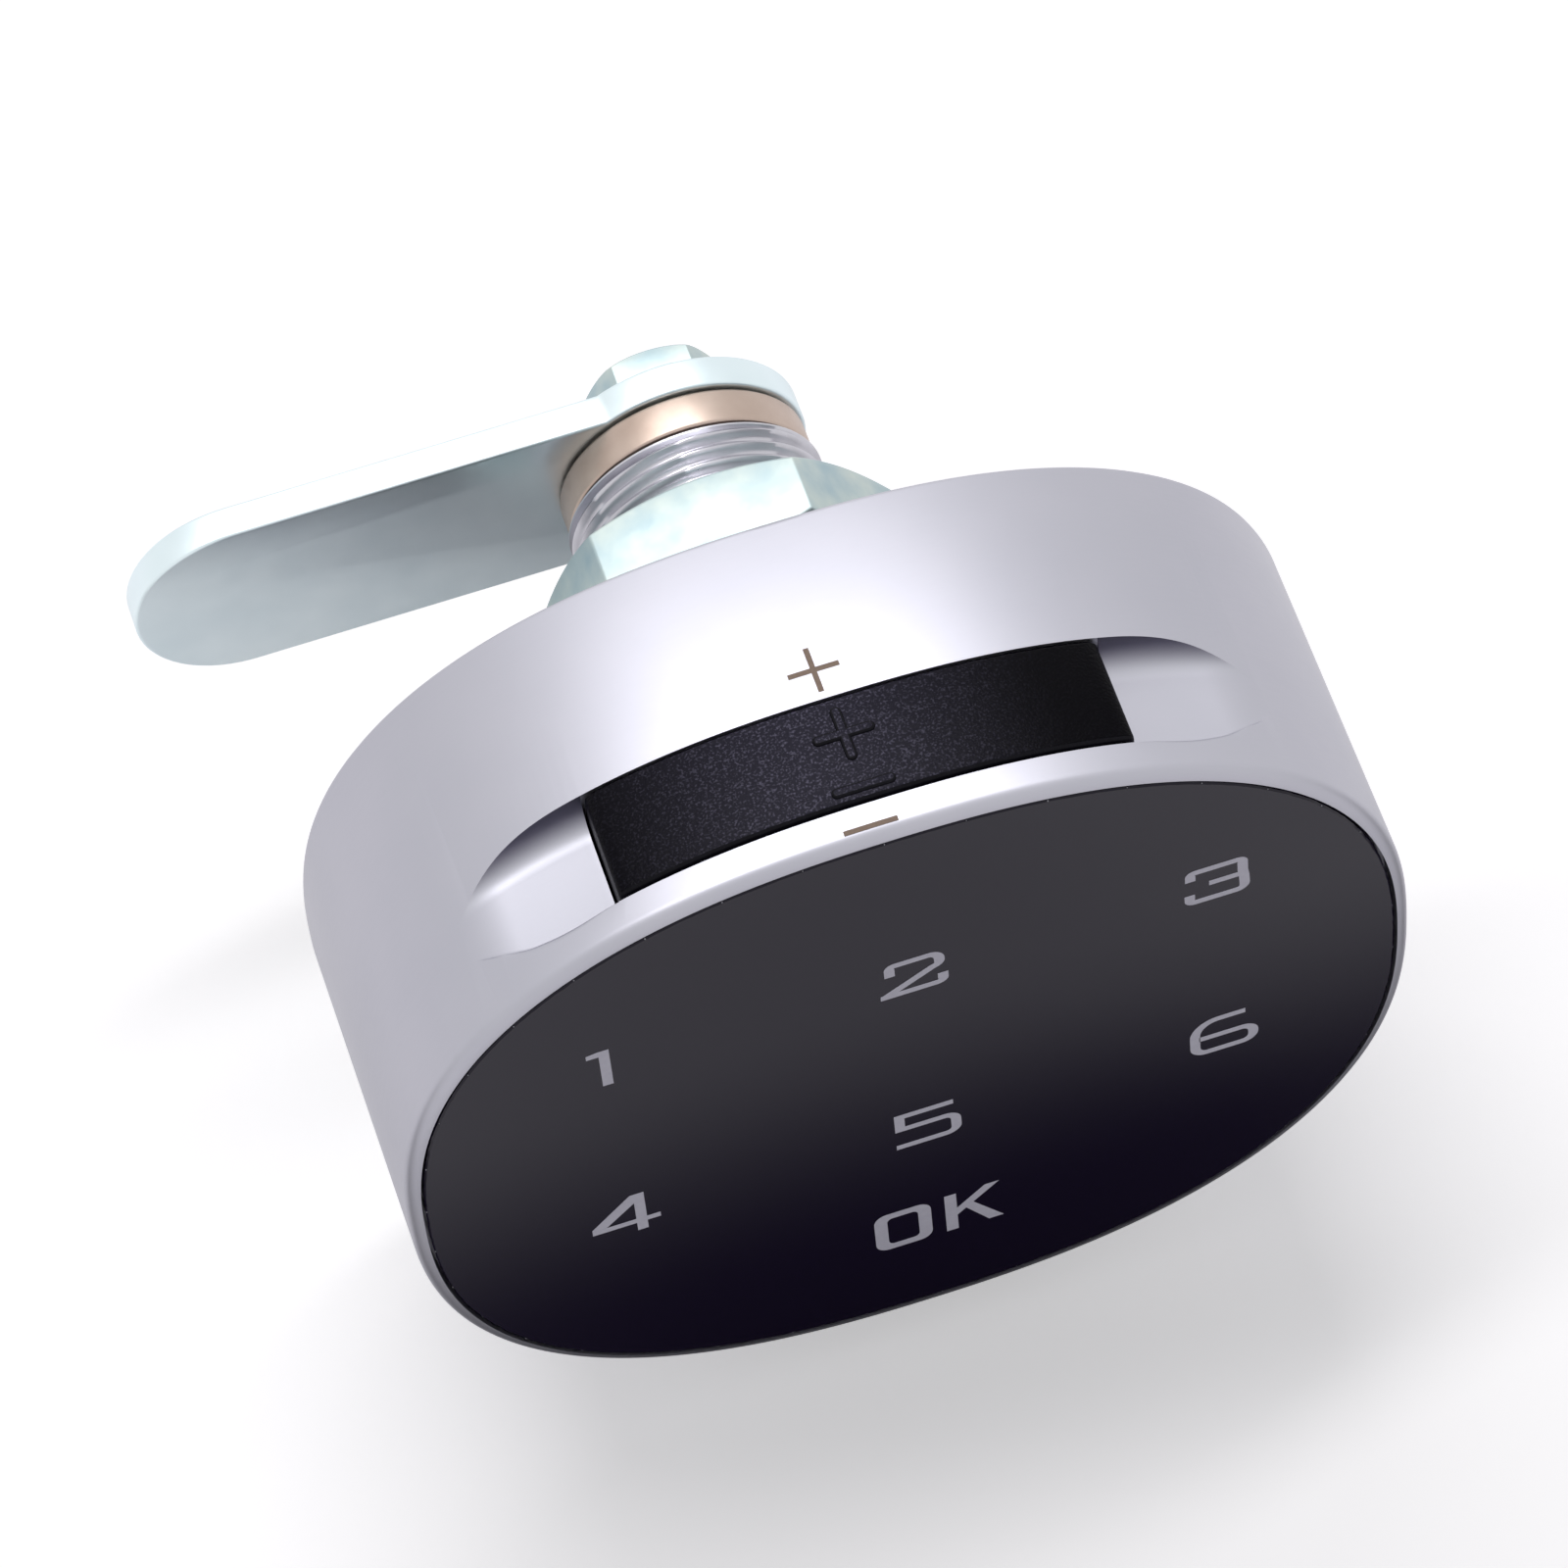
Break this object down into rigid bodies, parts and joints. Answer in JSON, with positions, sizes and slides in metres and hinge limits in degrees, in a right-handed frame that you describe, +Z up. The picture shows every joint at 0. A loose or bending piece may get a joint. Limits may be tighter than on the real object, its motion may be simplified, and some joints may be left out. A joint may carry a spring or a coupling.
{
  "type": "combination locker lock",
  "caption": "Electronic cam lock for a locker: oval metal knob with a black touch keypad and a battery drawer, threaded barrel with hex nut, and a flat cam",
  "frame": {"origin": "on the barrel's axis, where it leaves the door's outer face", "axes": "+X right as seen from in front of the panel, +Y into the locker along the barrel, +Z up, the side of the battery drawer; the panel faces -Y"},
  "size_m": [0.064, 0.0515, 0.0541],
  "materials": {
    "satin_zinc": "satin silver zinc die casting",
    "cover_zinc": "plain zinc die casting",
    "black_glass": "black touch panel, polished",
    "foam_tape": "black foam tape",
    "board_green": "solder resist",
    "gold_contact": "gold-plated spring bronze",
    "black_plastic": "spark-textured black moulding",
    "grey_plastic": "grey moulding",
    "cell_nickel": "nickel-plated steel",
    "chip_black": "moulded epoxy",
    "connector_ivory": "ivory moulding",
    "solenoid_steel": "nickel-plated can",
    "plunger_steel": "ground steel",
    "screw_steel": "zinc-plated steel",
    "barrel_zinc": "grey zinc-plated thread",
    "black_rubber": "black sealing rubber",
    "zinc_bright": "blue-white zinc plate",
    "bronze_collar": "sintered bronze"
  },
  "bodies": {
    "door_side": {"barrel": "barrel_zinc", "lock_ring": "plunger_steel", "door_gasket": "black_rubber", "washer": "zinc_bright", "hex_nut": "zinc_bright"},
    "head": {"housing": "satin_zinc", "back_cover": "cover_zinc", "touch_panel": "black_glass", "panel_tape": "foam_tape", "touch_board": "board_green", "main_board": "board_green", "contact_minus": "gold_contact", "contact_plus": "gold_contact", "drawer_guide": "grey_plastic", "controller_chip": "chip_black", "buzzer": "chip_black", "board_connector": "connector_ivory", "solenoid": "solenoid_steel", "spindle": "plunger_steel", "cover_screw_1": "screw_steel", "cover_screw_2": "screw_steel", "cover_screw_3": "screw_steel", "cover_screw_4": "screw_steel", "spindle_screw_1": "screw_steel", "spindle_screw_2": "screw_steel", "spindle_screw_3": "screw_steel", "cam": "zinc_bright", "spring_washer": "zinc_bright", "cam_bolt": "zinc_bright", "stop_collar": "bronze_collar"},
    "drawer": {"battery_drawer": "black_plastic", "coin_cell": "cell_nickel"},
    "plunger": {"solenoid_plunger": "plunger_steel"}
  },
  "joints": [
    {"name": "knob_turn", "type": "hinge", "parent": "door_side", "child": "head", "pos_m": [0, 0, 0], "axis": [0, 1, 0], "range_deg": [0, 90]},
    {"name": "drawer_slide", "type": "slide", "parent": "head", "child": "drawer", "axis": [0, 0, 1], "range_m": [0, 0.022]},
    {"name": "plunger_slide", "type": "slide", "parent": "head", "child": "plunger", "axis": [-1, 0, 0], "range_m": [0, 0.002]}
  ]
}
